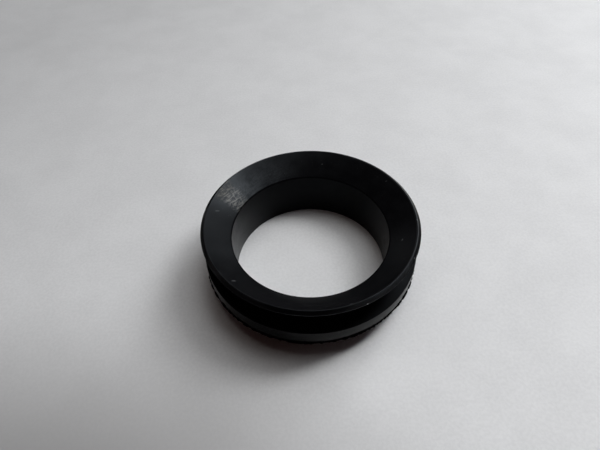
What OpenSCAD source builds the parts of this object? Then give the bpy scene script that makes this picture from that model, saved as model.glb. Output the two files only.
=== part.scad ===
/* [Body] */
// Diameter of the free bore, before the ring is stretched over its shaft
bore_d = 22; // [12:0.5:60]
// Depth of the body, from the bore out to the band
body_depth = 4; // [3.4:0.1:6]
// Width of the flat heel that the ring stands on
heel_w = 1.4; // [0.8:0.1:2.4]
// Height of the conical back, from the heel up to the mould's parting line
back_h = 2.9; // [1.5:0.1:5]
// Height of the outer band, from the parting line up to the groove
band_h = 2.4; // [1.2:0.1:5]

/* [Groove and hinge] */
// Width of rubber between the bore and the foot of the groove
neck_w = 1.25; // [0.9:0.05:1.8]
// Rise of the body's upper face, from the band in to the foot of the groove
shoulder_rise = 0.7; // [0:0.1:1.4]
// Height of the bore's upper edge over the foot of the groove
hinge_h = 1.2; // [0.8:0.05:2.2]
// Radius of the fillet at the foot of the groove
groove_r = 0.45; // [0.2:0.05:0.6]

/* [Lip] */
// Reach of the sealing ridge, outward from the bore
ridge_reach = 3.45; // [2.9:0.05:4.6]
// Slope of the lip's inner face, up from level
lip_slope = 36.5; // [28:0.5:45]
// Width of the lip's end face, from the ridge to the outer edge
lip_end_w = 0.68; // [0.4:0.02:0.9]
// Slope of the lip's end face, down from level
lip_end_slope = 40; // [20:1:60]

/* [Edges and flash] */
// Radius of the moulded edges
edge_r = 0.1; // [0.04:0.01:0.14]
// Radius of the sealing ridge
ridge_r = 0.06; // [0.02:0.01:0.12]
// Reach of the trimmed mould flash, out from the band
flash_reach = 0.15; // [0.05:0.05:0.35]
// Thickness of the flash at its trimmed edge
flash_edge_t = 0.2; // [0.1:0.02:0.3]
// Thickness of the flash where it leaves the band
flash_root_t = 0.38; // [0.32:0.02:0.6]

/* [Hidden] */
$fn = 180;

arc_steps = 8;

bore_r = bore_d / 2;
body_r = bore_r + body_depth;
flash_r = body_r + flash_reach;
band_top = back_h + band_h;
groove_foot_r = bore_r + neck_w;
groove_foot_z = band_top + shoulder_rise;
bore_h = groove_foot_z + hinge_h;
ridge_radius = bore_r + ridge_reach;
ring_h = bore_h + ridge_reach * tan(lip_slope);
lip_edge_radius = ridge_radius + lip_end_w * cos(lip_end_slope);
lip_edge_z = ring_h - lip_end_w * sin(lip_end_slope);

// Corners of half the section, anticlockwise from the foot of the bore:
// [distance from the axis, height, rounding]
corners = [
    [bore_r, 0, edge_r],
    [bore_r + heel_w, 0, edge_r],
    [body_r, back_h, 0],
    [flash_r, back_h, 0],
    [flash_r, back_h + flash_edge_t, 0],
    [body_r, back_h + flash_root_t, 0],
    [body_r, band_top, edge_r],
    [groove_foot_r, groove_foot_z, groove_r],
    [lip_edge_radius, lip_edge_z, edge_r],
    [ridge_radius, ring_h, ridge_r],
    [bore_r, bore_h, edge_r]
];

function flat(corner) = [corner.x, corner.y];
function unit(v) = v / norm(v);

// Points of the arc of radius r that rounds corner b, between a and c
function rounded(a, b, c, r) =
    let (
        to_a = unit(a - b),
        to_c = unit(c - b),
        half_angle = acos(to_a * to_c) / 2,
        centre = b + unit(to_a + to_c) * r / sin(half_angle),
        spoke = b + to_a * r / tan(half_angle) - centre,
        start = atan2(spoke.y, spoke.x),
        turn = sign(cross(b - a, c - b)) * (180 - 2 * half_angle)
    )
    [for (i = [0:arc_steps])
        centre + r * [cos(start + turn * i / arc_steps), sin(start + turn * i / arc_steps)]];

function outline(list) =
    let (n = len(list))
    [for (i = [0:n - 1])
        let (b = list[i], a = list[(i + n - 1) % n], c = list[(i + 1) % n])
        each (b.z > 0 ? rounded(flat(a), flat(b), flat(c), b.z) : [flat(b)])];

// One moulding: body, hinge and lip are the same rubber
module v_ring() {
    color([0.06, 0.06, 0.065])
        rotate_extrude()
            polygon(outline(corners));
}

v_ring();
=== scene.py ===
"""Looks of the v-ring seal: one rubber moulding, lying on its heel on white paper."""

import math

import bpy
from mathutils import Matrix, Vector, noise


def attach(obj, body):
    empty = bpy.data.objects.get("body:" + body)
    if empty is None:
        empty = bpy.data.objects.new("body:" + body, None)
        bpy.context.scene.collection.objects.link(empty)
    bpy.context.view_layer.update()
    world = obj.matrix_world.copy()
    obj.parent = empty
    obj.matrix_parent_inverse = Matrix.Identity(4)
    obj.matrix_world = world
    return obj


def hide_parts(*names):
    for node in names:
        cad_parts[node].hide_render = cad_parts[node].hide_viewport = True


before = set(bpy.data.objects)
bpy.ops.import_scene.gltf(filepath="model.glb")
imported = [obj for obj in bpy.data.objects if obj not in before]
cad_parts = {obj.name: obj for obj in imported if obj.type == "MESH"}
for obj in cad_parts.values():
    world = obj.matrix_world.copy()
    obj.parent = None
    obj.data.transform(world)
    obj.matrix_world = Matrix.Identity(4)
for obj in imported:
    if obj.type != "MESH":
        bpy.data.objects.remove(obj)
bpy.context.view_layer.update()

MM = 0.001

# The section of the moulding, as in the part's source
BORE_R = 11.0 * MM
BODY_R = 15.0 * MM
HEEL_W = 1.4 * MM
BACK_H = 2.9 * MM
BAND_TOP = 5.3 * MM
GROOVE_FOOT_R = 12.25 * MM
GROOVE_FOOT_Z = 6.0 * MM
BORE_H = 7.2 * MM
RIDGE_REACH = 3.45 * MM
LIP_SLOPE = math.radians(36.5)
LIP_END_W = 0.68 * MM
LIP_END_SLOPE = math.radians(40)
EDGE_R = 0.1 * MM
RIDGE_R = 0.06 * MM
GROOVE_R = 0.45 * MM
FLASH_REACH = 0.15 * MM
FLASH_EDGE_T = 0.2 * MM
FLASH_ROOT_T = 0.38 * MM

# The mesh: steps round the ring, fine enough for the torn edge of the flash, steps in each rounded edge,
# and the least angle between two faces that shows as a crease
SEGMENTS = 1200
ARC_STEPS = 5
CREASE_ANGLE = math.radians(32)

# The torn edge of the flash. Teeth are its short swings and trim its long ones. For each: how wide it is
# round the ring, how far it swings as a share of the reach, and its place in the noise. The mean and least
# are shares of the reach too, and those of the thickness are shares of an even edge's.
TOOTH_W = 0.4 * MM
TOOTH_DEPTH = 3.5
TOOTH_SEED = 3.7
TRIM_W = 9 * TOOTH_W
TRIM_DEPTH = 1.2
TRIM_SEED = 8.1
FLASH_MEAN = 0.65
FLASH_LEAST = 0.25
THICKNESS_W = 1.5 * TOOTH_W
THICKNESS_LEAST = 0.6
THICKNESS_SPAN = 0.8
THICKNESS_SEED = 5.3


def rounded(a, b, c, radius):
    """Points of the arc that rounds corner b, between a and c."""
    to_a = (a - b).normalized()
    to_c = (c - b).normalized()
    half = to_a.angle(to_c) / 2
    centre = b + (to_a + to_c).normalized() * radius / math.sin(half)
    spoke = b + to_a * radius / math.tan(half) - centre
    side = 1 if (b - a).cross(c - b) > 0 else -1
    sweep = side * (math.pi - 2 * half)
    return [centre + Matrix.Rotation(sweep * i / ARC_STEPS, 2) @ spoke for i in range(ARC_STEPS + 1)]


def section(flash_reach, flash_t):
    """The section as (radius, height) points, anticlockwise from the bore's foot, and which are sharp."""
    ridge = Vector((BORE_R + RIDGE_REACH, BORE_H + RIDGE_REACH * math.tan(LIP_SLOPE)))
    lip_edge = ridge + LIP_END_W * Vector((math.cos(LIP_END_SLOPE), -math.sin(LIP_END_SLOPE)))
    corners = [
        (Vector((BORE_R, 0)), EDGE_R),
        (Vector((BORE_R + HEEL_W, 0)), EDGE_R),
        (Vector((BODY_R, BACK_H)), 0),
        (Vector((BODY_R + flash_reach, BACK_H)), 0),
        (Vector((BODY_R + flash_reach, BACK_H + flash_t)), 0),
        (Vector((BODY_R, BACK_H + FLASH_ROOT_T)), 0),
        (Vector((BODY_R, BAND_TOP)), EDGE_R),
        (Vector((GROOVE_FOOT_R, GROOVE_FOOT_Z)), GROOVE_R),
        (lip_edge, EDGE_R),
        (ridge, RIDGE_R),
        (Vector((BORE_R, BORE_H)), EDGE_R),
    ]
    points, creases = [], set()
    for i, (corner, radius) in enumerate(corners):
        before = corners[i - 1][0]
        after = corners[(i + 1) % len(corners)][0]
        if radius:
            points += rounded(before, corner, after, radius)
        else:
            creases.add(len(points))
            points.append(corner)
    return points, creases


def torn(turn, width, seed):
    """A value from 0 to 1 that changes round the ring over about the given width."""
    reach = BODY_R / width
    return 0.5 + 0.5 * noise.noise(Vector((math.cos(turn) * reach, math.sin(turn) * reach, seed)))


def seal():
    """The moulding, turned from its section, with the flash torn off unevenly round its parting line."""
    verts = []
    for i in range(SEGMENTS):
        turn = 2 * math.pi * i / SEGMENTS
        teeth = torn(turn, TOOTH_W, TOOTH_SEED)
        trim = torn(turn, TRIM_W, TRIM_SEED)
        share = FLASH_MEAN + TOOTH_DEPTH * (teeth - 0.5) + TRIM_DEPTH * (trim - 0.5)
        share = min(1, max(FLASH_LEAST, share))
        thick = FLASH_EDGE_T * (THICKNESS_LEAST + THICKNESS_SPAN * torn(turn, THICKNESS_W, THICKNESS_SEED))
        points, creases = section(FLASH_REACH * share, min(thick, FLASH_ROOT_T))
        verts += [(p.x * math.cos(turn), p.x * math.sin(turn), p.y) for p in points]
    count = len(points)
    faces = []
    for i in range(SEGMENTS):
        near, far = i * count, (i + 1) % SEGMENTS * count
        for j in range(count):
            k = (j + 1) % count
            faces.append((near + j, far + j, far + k, near + k))
    mesh = bpy.data.meshes.new("rubber_ring")
    mesh.from_pydata(verts, [], faces)
    mesh.shade_smooth()
    mesh.set_sharp_from_angle(angle=CREASE_ANGLE)
    for edge in mesh.edges:
        near, far = edge.vertices
        if near % count == far % count and near % count in creases:
            edge.use_edge_sharp = True
    obj = bpy.data.objects.new("rubber_ring", mesh)
    bpy.context.collection.objects.link(obj)
    return obj


def add(tree, kind, inputs=None, **settings):
    """A new node, with its settings, and with each named input set or linked."""
    node = tree.nodes.new(kind)
    for name, value in settings.items():
        setattr(node, name, value)
    for name, value in (inputs or {}).items():
        if isinstance(value, bpy.types.NodeSocket):
            tree.links.new(value, node.inputs[name])
        else:
            node.inputs[name].default_value = value
    return node


def math_node(tree, operation, a, b=0.0):
    return add(tree, "ShaderNodeMath", {0: a, 1: b}, operation=operation).outputs[0]


def both(tree, a, b):
    """Two shares multiplied: as much as both of them allow."""
    return math_node(tree, "MULTIPLY", a, b)


def vector_node(tree, operation, a, b=(0, 0, 0)):
    return add(tree, "ShaderNodeVectorMath", {0: a, 1: b}, operation=operation).outputs[0]


def scaled(tree, vector, scale):
    return add(tree, "ShaderNodeVectorMath", {0: vector, "Scale": scale}, operation="SCALE").outputs[0]


def measure(tree, operation, a, b=(0, 0, 0)):
    """A vector operation that gives a number: DOT_PRODUCT, DISTANCE or LENGTH."""
    return add(tree, "ShaderNodeVectorMath", {0: a, 1: b}, operation=operation).outputs["Value"]


def ramp(tree, value, low, high, to_low=0.0, to_high=1.0, kind="SMOOTHSTEP"):
    """value, from low to high, spread over to_low to to_high."""
    return add(
        tree, "ShaderNodeMapRange",
        {"Value": value, "From Min": low, "From Max": high, "To Min": to_low, "To Max": to_high},
        interpolation_type=kind,
    ).outputs[0]


def noise_node(tree, vector, scale, detail=2.0, rough=0.55):
    return add(
        tree, "ShaderNodeTexNoise",
        {"Vector": vector, "Scale": scale, "Detail": detail, "Roughness": rough},
    ).outputs["Fac"]


def mix_colour(tree, factor, first, second):
    return add(tree, "ShaderNodeMix", {0: factor, 6: first, 7: second}, data_type="RGBA").outputs[2]


def bare_material(name):
    mat = bpy.data.materials.new(name)
    mat.use_nodes = True
    return mat, mat.node_tree, mat.node_tree.nodes["Principled BSDF"]


# Small marks on the rubber: place in mm, direction it runs in, length and width in mm, and how light it is
MARKS = [
    ((6.18, -13.57, 9.36), (0.9, 0.4, 0.2), 0.22, 0.20, 1.0),
    ((4.20, -13.67, 9.64), (1.0, 0.3, 0.1), 0.50, 0.12, 0.25),
    ((-9.75, -9.51, 9.15), (1.0, 0.52, -0.6), 0.85, 0.10, 0.4),
    ((-13.04, 2.75, 8.92), (1.0, 0.5, -0.5), 0.85, 0.11, 0.3),
    ((12.19, -3.24, 8.39), (0.5, 0.8, 0.3), 0.40, 0.13, 0.35),
    ((12.42, -3.60, 8.45), (0.7, -0.7, 0.0), 0.25, 0.12, 0.3),
    ((2.39, 12.57, 8.53), (1.0, 0.0, 0.0), 0.20, 0.16, 0.25),
    ((11.59, 7.41, 9.24), (1.0, 0.3, 0.2), 0.35, 0.12, 0.25),
    ((14.41, -0.94, 9.75), (0.1, 1.0, 0.0), 0.35, 0.18, 0.4),
    ((12.86, -7.22, 9.50), (0.5, 0.9, 0.0), 0.40, 0.16, 0.3),
]
# The share of a mark's half length and half width within which it is full
MARK_CORE = 0.3


def marks(tree, place):
    """How much of a mark is at a place: 1 in the middle of the lightest one."""
    total = 0.0
    for centre, run, length, width, lightness in MARKS:
        spot = Vector(centre)
        outward = Vector((spot.x, spot.y, 0)).normalized()
        on_end = spot.xy.length > (BORE_R + RIDGE_REACH) / MM
        tilt = LIP_END_SLOPE if on_end else -LIP_SLOPE
        normal = outward * math.sin(tilt) + Vector((0, 0, math.cos(tilt)))
        along = Vector(run) - Vector(run).dot(normal) * normal
        along.normalize()
        offset = vector_node(tree, "SUBTRACT", place, centre)
        run_part = measure(tree, "DOT_PRODUCT", offset, along)
        beside = vector_node(tree, "SUBTRACT", offset, scaled(tree, tuple(along), run_part))
        far = math_node(
            tree, "MAXIMUM",
            math_node(tree, "MULTIPLY", math_node(tree, "ABSOLUTE", run_part), 2 / length),
            math_node(tree, "MULTIPLY", measure(tree, "LENGTH", beside), 2 / width),
        )
        total = math_node(tree, "ADD", ramp(tree, far, 1.0, MARK_CORE, 0.0, lightness), total)
    return total


def strokes(tree, place, heading, length, width, seed, detail=2.0):
    """Noise in streaks of about this length and width, in mm, that run along one heading in plan."""
    turned = add(
        tree, "ShaderNodeMapping",
        {"Vector": place, "Location": (seed, seed, 0), "Rotation": (0, 0, math.radians(heading)),
         "Scale": (length, width, width)},
        vector_type="TEXTURE",
    ).outputs[0]
    return noise_node(tree, turned, 1.0, detail)


# The lines that the turned mould left: how often they change round the ring and across it
LINES_ROUND = 5.0
LINES_ACROSS = 6.0


def turning_lines(tree, outward, radius, height):
    """Noise in fine lines that run round the ring."""
    across = math_node(tree, "MULTIPLY", math_node(tree, "ADD", radius, height), LINES_ACROSS)
    lift = add(tree, "ShaderNodeCombineXYZ", {"Z": across}).outputs[0]
    return noise_node(tree, vector_node(tree, "ADD", scaled(tree, outward, LINES_ROUND), lift), 1.0)


def near_turn(tree, outward, turn, inner, outer):
    """1 within inner degrees of a direction in plan, down to 0 at outer degrees."""
    aim = (math.cos(math.radians(turn)), math.sin(math.radians(turn)), 0)
    dot = measure(tree, "DOT_PRODUCT", outward, aim)
    return ramp(tree, dot, math.cos(math.radians(outer)), math.cos(math.radians(inner)))


# Where one face of the rubber ends and the next begins, in mm. The gaps keep the borders clear of
# rounded corners. A pair is where a zone starts and where it is full.
ZONE_GAP = 0.01
LIP_TOP_GAP = 0.06
LIP_END_FOOT = 9.33
BORE_ZONE_R = 11.5
BORE_EDGE_W = 0.15
BORE_EDGE_H = 0.1
RIDGE_FOOT = 9.66
PAINTED_HIGHLIGHT_RIDGE_FOOT = (9.57, 9.63)
LIP_BACK_TOP = (7.8, 8.6)
FLASH_GAP = 0.05
FLASH_TOP = (3.3, 3.42)

# Radii on the lip's inner face, in mm, between which its shine changes
FULL_FACE = (11.6, 14.1)
OUTER_FACE = (12.3, 13.6)
EDGE_OF_FACE = (12.8, 13.9)

# Parts of the ring in plan, where the smear and the haze lie and where the shine paints highlight, sheen
# and shade: direction in degrees, anticlockwise from the right, then how many degrees to each side of it
# the part is full, and where it ends
HAZED_AND_PAINTED_SHEEN = (124, 12, 32)
OUTER_PAINTED_SHEEN = (98, 10, 30)
SMEAR_AND_PAINTED_HIGHLIGHT = (152, 3, 9)
PAINTED_SHADE_LEFT = (181, 4, 20)
PAINTED_SHADE_FRONT_LEFT = (-122, 10, 26)
BACK_LEFT_END = (148, 8, 25)
LEFT_RIDGE = (165, 25, 45)
RIGHT_RIDGE = (20, 35, 60)
LEFT_BORE = (165, 20, 50)
RIGHT_BORE = (20, 20, 50)
RIGHT_GROOVE = (-22, 8, 25)

# Streaks on the lip, which cross each other: heading in degrees, length and width in mm, place in the
# noise, and detail. Then the least that is left between them of the smear with its painted highlight and
# of the haze with its painted sheen.
WIPE = (48, 1.6, 0.16, 0.0, 2.0)
CROSS_WIPE = (-62, 1.1, 0.18, 31.0, 2.0)
SCRATCH = (48, 1.7, 0.2, 12.0, 4.0)
CROSS_SCRATCH = (-62, 1.3, 0.2, 47.0, 4.0)
SMEAR_AND_HIGHLIGHT_LEAST = 0.04
HAZE_AND_SHEEN_LEAST = 0.55

# Noise: how often it changes in a mm, its detail, and how rough that is
BLOTCHES = (0.55, 5.0, 0.6)
GRAIN = (5.0, 2.0)
SPECKS = (6.0, 0.0)

# The span of a noise over which what it makes comes in
HAZE_AND_SHEEN_SPAN = (0.4, 0.6)
WIPE_SPAN = (0.38, 0.62)
SCRATCH_SPAN = (0.42, 0.66)
CROSS_SCRATCH_SPAN = (0.46, 0.7)
BLOTCH_SPAN = (0.3, 0.7)
DUST_SPAN = (0.35, 0.75)
SPECK_SPAN = (0.79, 0.84)
LINE_SPAN = (0.35, 0.65)

RUBBER = (0.0035, 0.0035, 0.0042, 1)
DUSTY_RUBBER = (0.0055, 0.0055, 0.0062, 1)
LIP_END_RUBBER = (0.002, 0.002, 0.0023, 1)
TORN_RUBBER = (0.001, 0.001, 0.001, 1)
SPECK = (0.02, 0.02, 0.021, 1)
SCRATCHED_RUBBER_AND_PAINTED_HIGHLIGHT = (0.05, 0.048, 0.042, 1)
SCUFF = (0.35, 0.36, 0.36, 1)
PAINTED_COOL_REFLECTION = (0.84, 0.93, 1, 1)
PAINTED_WARM_REFLECTION = (1, 0.98, 0.95, 1)

# Roughness: the span that the blotches give, the change that the streaks give, how much less the outside
# has, and that of the torn flash
BLOTCHED_ROUGHNESS = (0.30, 0.38)
STREAK_ROUGHNESS = 0.02
OUTSIDE_SMOOTHER = 0.12
TORN_ROUGHNESS = 0.9

# Relief: its whole depth, and the share of it in the wiped streaks, the mould's lines and the grain
RELIEF_DEPTH = 0.02 * MM
WIPED_RELIEF = 0.2
LINES_RELIEF = 0.15
GRAIN_RELIEF = 0.08

# Shine: that of all of it, and how far the lip's top has to be turned away for the change at its edge
BASE_SHINE = 0.1
TURNED_AWAY = (0.5, 0.62)


def rubber():
    """Black moulded rubber: satin, glossier outside, lined by the mould, wiped, and matt where torn, with
    painted highlights, sheen and shade in its shine and in the tint of its reflections.
    """
    mat, tree, bsdf = bare_material("black_rubber")
    metres = add(tree, "ShaderNodeTexCoord").outputs["Object"]
    place = scaled(tree, metres, 1 / MM)
    flat = vector_node(tree, "MULTIPLY", place, (1, 1, 0))
    outward = vector_node(tree, "NORMALIZE", flat)
    radius = measure(tree, "LENGTH", flat)
    height = add(tree, "ShaderNodeSeparateXYZ", {"Vector": place}).outputs["Z"]
    lines = turning_lines(tree, outward, radius, height)

    def part(zone, span):
        """The part of a zone near one direction in plan."""
        return both(tree, zone, near_turn(tree, outward, *span))

    def above(value, limit):
        return math_node(tree, "GREATER_THAN", value, limit)

    def below(value, limit):
        return math_node(tree, "LESS_THAN", value, limit)

    def without(zone):
        return math_node(tree, "SUBTRACT", 1.0, zone)

    # Where each face is: the lip's top and end, the outside below the groove, the groove, and the bore
    steepness = math.tan(LIP_SLOPE)
    over_lip = math_node(tree, "SUBTRACT", height, math_node(tree, "MULTIPLY", radius, steepness))
    lip_top = above(over_lip, BORE_H / MM - BORE_R / MM * steepness - LIP_TOP_GAP)
    below_top = without(lip_top)
    lip_end = both(tree, below_top, above(height, LIP_END_FOOT))
    outer = above(radius, BORE_ZONE_R)
    outside = both(tree, outer, below(height, BAND_TOP / MM + ZONE_GAP))
    groove = both(tree, both(tree, outer, below_top), above(height, BAND_TOP / MM + ZONE_GAP))
    groove = both(tree, groove, below(height, LIP_END_FOOT))
    bore = both(tree, below_top, without(outer))
    bore_edge = both(
        tree, below(radius, BORE_R / MM + BORE_EDGE_W), above(height, BORE_H / MM - BORE_EDGE_H))
    ridge = above(height, RIDGE_FOOT)
    flash_top = ramp(tree, lines, *LINE_SPAN, *FLASH_TOP)
    torn_flash = both(tree, above(radius, BODY_R / MM - FLASH_GAP), below(height, flash_top))
    torn_flash = both(tree, torn_flash, above(height, BACK_H / MM - FLASH_GAP))

    # Wear and dirt, and the smear and the haze, which also paint a highlight and a sheen
    wiped = math_node(tree, "ADD", strokes(tree, place, *WIPE), strokes(tree, place, *CROSS_WIPE))
    wiped = math_node(tree, "MULTIPLY", wiped, 0.5)
    scratched = math_node(
        tree, "MAXIMUM",
        ramp(tree, strokes(tree, place, *SCRATCH), *SCRATCH_SPAN),
        ramp(tree, strokes(tree, place, *CROSS_SCRATCH), *CROSS_SCRATCH_SPAN),
    )
    blotches = noise_node(tree, place, *BLOTCHES)
    grain = noise_node(tree, place, *GRAIN)
    specks = both(tree, ramp(tree, noise_node(tree, place, *SPECKS), *SPECK_SPAN), lip_top)
    # The haze lies in streaks, and its shine on this side of the lip paints a bluish sheen
    haze_and_sheen = part(both(tree, lip_top, ramp(tree, wiped, *HAZE_AND_SHEEN_SPAN, HAZE_AND_SHEEN_LEAST, 1.0)), HAZED_AND_PAINTED_SHEEN)
    # The smear: scratched, and placed and made shiny where it paints a highlight on the lip
    smear_and_highlight = both(tree, part(lip_top, SMEAR_AND_PAINTED_HIGHLIGHT), math_node(tree, "ADD", scratched, SMEAR_AND_HIGHLIGHT_LEAST))

    roughness = math_node(
        tree, "ADD",
        ramp(tree, wiped, *WIPE_SPAN, -STREAK_ROUGHNESS, STREAK_ROUGHNESS),
        ramp(tree, blotches, *BLOTCH_SPAN, *BLOTCHED_ROUGHNESS),
    )
    roughness = math_node(tree, "SUBTRACT", roughness, both(tree, outside, OUTSIDE_SMOOTHER))
    roughness = math_node(tree, "MAXIMUM", roughness, both(tree, torn_flash, TORN_ROUGHNESS))
    tree.links.new(roughness, bsdf.inputs["Roughness"])

    colour = mix_colour(tree, ramp(tree, blotches, *DUST_SPAN), RUBBER, DUSTY_RUBBER)
    for zone, over in (
        (lip_end, LIP_END_RUBBER),
        (specks, SPECK),
        (torn_flash, TORN_RUBBER),
        # The smear's scratches, painted lighter where they carry the highlight
        (both(tree, smear_and_highlight, scratched), SCRATCHED_RUBBER_AND_PAINTED_HIGHLIGHT),
        (marks(tree, place), SCUFF),
    ):
        colour = mix_colour(tree, zone, colour, over)
    tree.links.new(colour, bsdf.inputs["Base Color"])

    relief = both(tree, both(tree, wiped, WIPED_RELIEF), lip_top)
    relief = math_node(tree, "ADD", relief, both(tree, lines, LINES_RELIEF))
    relief = math_node(tree, "ADD", relief, both(tree, grain, GRAIN_RELIEF))
    bump = add(tree, "ShaderNodeBump", {"Strength": 1.0, "Distance": RELIEF_DEPTH, "Height": relief})
    tree.links.new(bump.outputs[0], bsdf.inputs["Normal"])

    # Shine, as specular level. Each zone adds a value, or one that changes with the radius, the height, or
    # how far the face is turned away from the eye. The parts picked by a direction in plan paint
    # highlights, sheen and shade into the shine.
    facing = add(tree, "ShaderNodeLayerWeight").outputs["Facing"]
    turned_away = ramp(tree, facing, *TURNED_AWAY)
    shine = BASE_SHINE
    for zone, change in (
        # Painted sheen: the haze's, and that on the outer part of the lip's face
        (haze_and_sheen, ramp(tree, radius, *FULL_FACE, 0.33, 0.07)),
        (part(lip_top, OUTER_PAINTED_SHEEN), ramp(tree, radius, *OUTER_FACE, 0.0, 0.06)),
        # Painted shade on the left of the lip's top
        (part(lip_top, PAINTED_SHADE_LEFT), -0.045),
        # The smear's painted highlight
        (smear_and_highlight, ramp(tree, radius, *FULL_FACE, 0.36, 0.03)),
        (both(tree, lip_top, turned_away), ramp(tree, radius, *EDGE_OF_FACE, -0.08, -0.025)),
        (lip_end, ramp(tree, facing, 0.0, 0.09, -0.1, 0.85)),
        (lip_end, ramp(tree, facing, 0.29, 0.38, 0.0, -0.83)),
        (lip_end, ramp(tree, facing, 0.42, 0.5, 0.0, -0.085)),
        (lip_end, ramp(tree, facing, 0.78, 0.88, 0.0, 0.11)),
        # Painted shade on the front left of the lip's end
        (part(lip_end, PAINTED_SHADE_FRONT_LEFT), -0.62),
        (part(lip_end, BACK_LEFT_END), -0.085),
        (ridge, 0.15),
        (part(ridge, LEFT_RIDGE), -0.15),
        # A painted highlight line just below the ridge, on the right
        (part(ramp(tree, height, *PAINTED_HIGHLIGHT_RIDGE_FOOT), RIGHT_RIDGE), 0.24),
        (groove, -0.085),
        (part(groove, RIGHT_GROOVE), ramp(tree, height, *LIP_BACK_TOP, 0.0, 0.03)),
        (bore, ramp(tree, facing, 0.4, 0.9, -0.045, 0.15)),
        (part(bore, LEFT_BORE), 0.025),
        (part(bore, RIGHT_BORE), -0.02),
        (outside, ramp(tree, facing, 0.86, 0.95, -0.03, 0.05)),
        # Painted shade on the front left of the outside
        (part(outside, PAINTED_SHADE_FRONT_LEFT), -0.045),
    ):
        shine = math_node(tree, "ADD", shine, both(tree, zone, change))
    shine = both(tree, shine, without(math_node(tree, "MAXIMUM", torn_flash, bore_edge)))
    tree.links.new(shine, bsdf.inputs["Specular IOR Level"])
    # The tint of the reflections is painted: cool on most of the rubber, warm on the smear and the outside
    warm_painted_reflection = math_node(tree, "MAXIMUM", smear_and_highlight, outside)
    tree.links.new(mix_colour(tree, warm_painted_reflection, PAINTED_COOL_REFLECTION, PAINTED_WARM_REFLECTION), bsdf.inputs["Specular Tint"])
    return mat


# Painted light: the paper's colour rises evenly from dim to bright along one direction in plan, between
# two distances from the seal, standing in for uneven light
PAPER_IN_PAINTED_DIM_LIGHT = (0.613, 0.61, 0.61, 1)
PAPER_IN_PAINTED_BRIGHT_LIGHT = (0.918, 0.914, 0.914, 1)
PAINTED_LIGHT_RUN = (0.805, -0.593, 0)
PAINTED_LIGHT_SPAN = (-102 * MM, 39 * MM)

# The soft shade at the near left: its middle, the radii where it starts and is full, and the same for
# depths, since it fades out again towards the front
SHADED_PAPER = (0.335, 0.328, 0.325, 1)
SHADE_CENTRE = (-42 * MM, -92 * MM, 0)
SHADE_RADII = (90 * MM, 60 * MM)
SHADE_FRONT = (-80 * MM, -36 * MM)

# The paper's mottle, as noise: how often it changes in a metre, its detail, and how rough that is. Then
# the span of the noise that shows, and how much each of the two darkens the paper.
CLOUDS = (90.0, 5.0, 0.65)
FIBRES = (2500.0, 2.0)
MOTTLE_SPAN = (0.3, 0.7)
MOTTLE = 0.06
PAPER_ROUGHNESS = 0.9
PAPER_SHINE = 0.2


def paper():
    """Plain white paper with a faint mottle, and with painted uneven light and a painted shade in its
    colour.
    """
    mat, tree, bsdf = bare_material("paper")
    place = add(tree, "ShaderNodeTexCoord").outputs["Object"]
    clouds = ramp(tree, noise_node(tree, place, *CLOUDS), *MOTTLE_SPAN, 0.0, MOTTLE)
    fibres = ramp(tree, noise_node(tree, place, *FIBRES), *MOTTLE_SPAN, 0.0, MOTTLE)
    mottle = math_node(tree, "ADD", clouds, fibres)
    # Painted light: the paper's colour goes from dim to bright along one direction
    painted_light = ramp(tree, measure(tree, "DOT_PRODUCT", place, PAINTED_LIGHT_RUN), *PAINTED_LIGHT_SPAN, kind="LINEAR")
    near_left = ramp(tree, measure(tree, "DISTANCE", place, SHADE_CENTRE), *SHADE_RADII)
    depth = add(tree, "ShaderNodeSeparateXYZ", {"Vector": place}).outputs["Y"]
    shade = both(tree, near_left, ramp(tree, depth, *SHADE_FRONT))
    colour = mix_colour(tree, painted_light, PAPER_IN_PAINTED_DIM_LIGHT, PAPER_IN_PAINTED_BRIGHT_LIGHT)
    colour = mix_colour(tree, mottle, colour, (0, 0, 0, 1))
    colour = mix_colour(tree, shade, colour, SHADED_PAPER)
    tree.links.new(colour, bsdf.inputs["Base Color"])
    bsdf.inputs["Roughness"].default_value = PAPER_ROUGHNESS
    bsdf.inputs["Specular IOR Level"].default_value = PAPER_SHINE
    return mat


FLOOR_R = 0.35
FLOOR_SIDES = 64


def floor():
    """The paper that the seal lies on, as one flat round sheet."""
    mesh = bpy.data.meshes.new("floor")
    turns = [2 * math.pi * i / FLOOR_SIDES for i in range(FLOOR_SIDES)]
    rim = [(FLOOR_R * math.cos(t), FLOOR_R * math.sin(t), 0) for t in turns]
    mesh.from_pydata(rim, [], [range(FLOOR_SIDES)])
    mesh.materials.append(paper())
    obj = bpy.data.objects.new("floor", mesh)
    bpy.context.collection.objects.link(obj)


# The camera: how it is turned, and where the middle of the seal's foot lies from it
CAMERA_ELEVATION = math.radians(48.1)
CAMERA_ROLL = math.radians(-1.913)
CAMERA_LENS = 26.69
FOOT_AHEAD = 67.84 * MM
FOOT_RIGHT = 1.585 * MM
FOOT_BELOW = 5.565 * MM


def camera():
    """A close camera, like that of a phone, a little turned about its own axis."""
    ahead = Vector((0, math.cos(CAMERA_ELEVATION), -math.sin(CAMERA_ELEVATION)))
    level = Vector((1, 0, 0))
    right = math.cos(CAMERA_ROLL) * level + math.sin(CAMERA_ROLL) * level.cross(ahead)
    up = right.cross(ahead)
    data = bpy.data.cameras.new("camera")
    data.lens = CAMERA_LENS
    data.clip_start = 1 * MM
    obj = bpy.data.objects.new("camera", data)
    bpy.context.collection.objects.link(obj)
    place = FOOT_BELOW * up - FOOT_RIGHT * right - FOOT_AHEAD * ahead
    obj.matrix_world = Matrix.Translation(place) @ Matrix((right, up, -ahead)).transposed().to_4x4()
    bpy.context.scene.camera = obj


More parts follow.
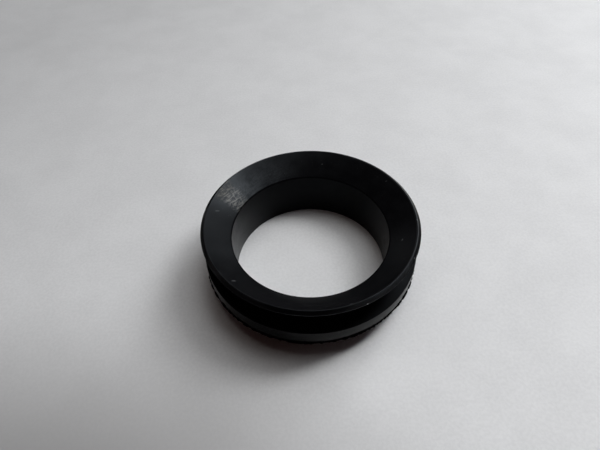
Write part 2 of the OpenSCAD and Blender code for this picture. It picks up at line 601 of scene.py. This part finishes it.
# The lamps: azimuth in degrees, anticlockwise from the right as seen from above, elevation in degrees,
# distance, width and height in metres, power in watts, and colour
LAMPS = {
    "window": (26, 50, 0.5, (0.10, 0.26), 1.10, (0.96, 0.98, 1)),
    "window_edge": (50, 40, 1.0, (0.30, 0.30), 0.84, (0.95, 0.98, 1)),
    "window_foot": (46, 29, 1.0, (0.45, 0.45), 1.46, (0.94, 0.97, 1)),
    "window_top": (30, 75, 1.0, (0.40, 0.40), 0.85, (0.95, 0.98, 1)),
    "skylight": (61, 67, 1.0, (0.60, 0.60), 1.71, (0.95, 0.98, 1)),
    "far_wall": (52, 9, 1.0, (0.40, 0.40), 0.41, (0.88, 0.95, 1)),
    "side_wall": (118, 12, 1.0, (0.40, 0.40), 0.17, (0.95, 0.97, 1)),
    "ceiling": (110, 78, 1.0, (0.50, 0.50), 0.70, (1, 0.98, 0.95)),
    "sky": (-14, 44, 1.0, (0.50, 0.50), 0.09, (0.8, 0.9, 1)),
}

# The room's own dim glow, and the pale backdrop that only the camera sees
GLOW = (1, 0.58, 0.54, 1)
GLOW_STRENGTH = 0.021
BACKDROP = (0.55, 0.56, 0.57, 1)


def lamp(name, azimuth, elevation, distance, size, power, colour):
    """A soft oval lamp, aimed at the seal."""
    data = bpy.data.lights.new(name, "AREA")
    data.shape = "ELLIPSE"
    data.size, data.size_y = size
    data.energy = power
    data.color = colour
    obj = bpy.data.objects.new(name, data)
    bpy.context.collection.objects.link(obj)
    turn, lift = math.radians(azimuth), math.radians(elevation)
    towards = Vector((math.cos(turn) * math.cos(lift), math.sin(turn) * math.cos(lift), math.sin(lift)))
    place = distance * towards
    obj.location = place
    obj.rotation_euler = (-place).to_track_quat("-Z", "Y").to_euler()


def room():
    """The dim glow that lights everything, with the backdrop in its place for the camera."""
    world = bpy.data.worlds.new("room")
    world.use_nodes = True
    tree = world.node_tree
    dim = tree.nodes["Background"]
    dim.inputs["Color"].default_value = GLOW
    dim.inputs["Strength"].default_value = GLOW_STRENGTH
    pale = add(tree, "ShaderNodeBackground", {"Color": BACKDROP})
    by_camera = add(tree, "ShaderNodeLightPath").outputs["Is Camera Ray"]
    seen = add(tree, "ShaderNodeMixShader", {0: by_camera, 1: dim.outputs[0], 2: pale.outputs[0]})
    tree.links.new(seen.outputs[0], tree.nodes["World Output"].inputs["Surface"])
    bpy.context.scene.world = world


ring = seal()
ring.data.materials.append(rubber())
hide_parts("v_ring")
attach(ring, "root")

floor()
camera()
room()
for name, settings in LAMPS.items():
    lamp(name, *settings)

bpy.context.scene.view_settings.view_transform = "Standard"
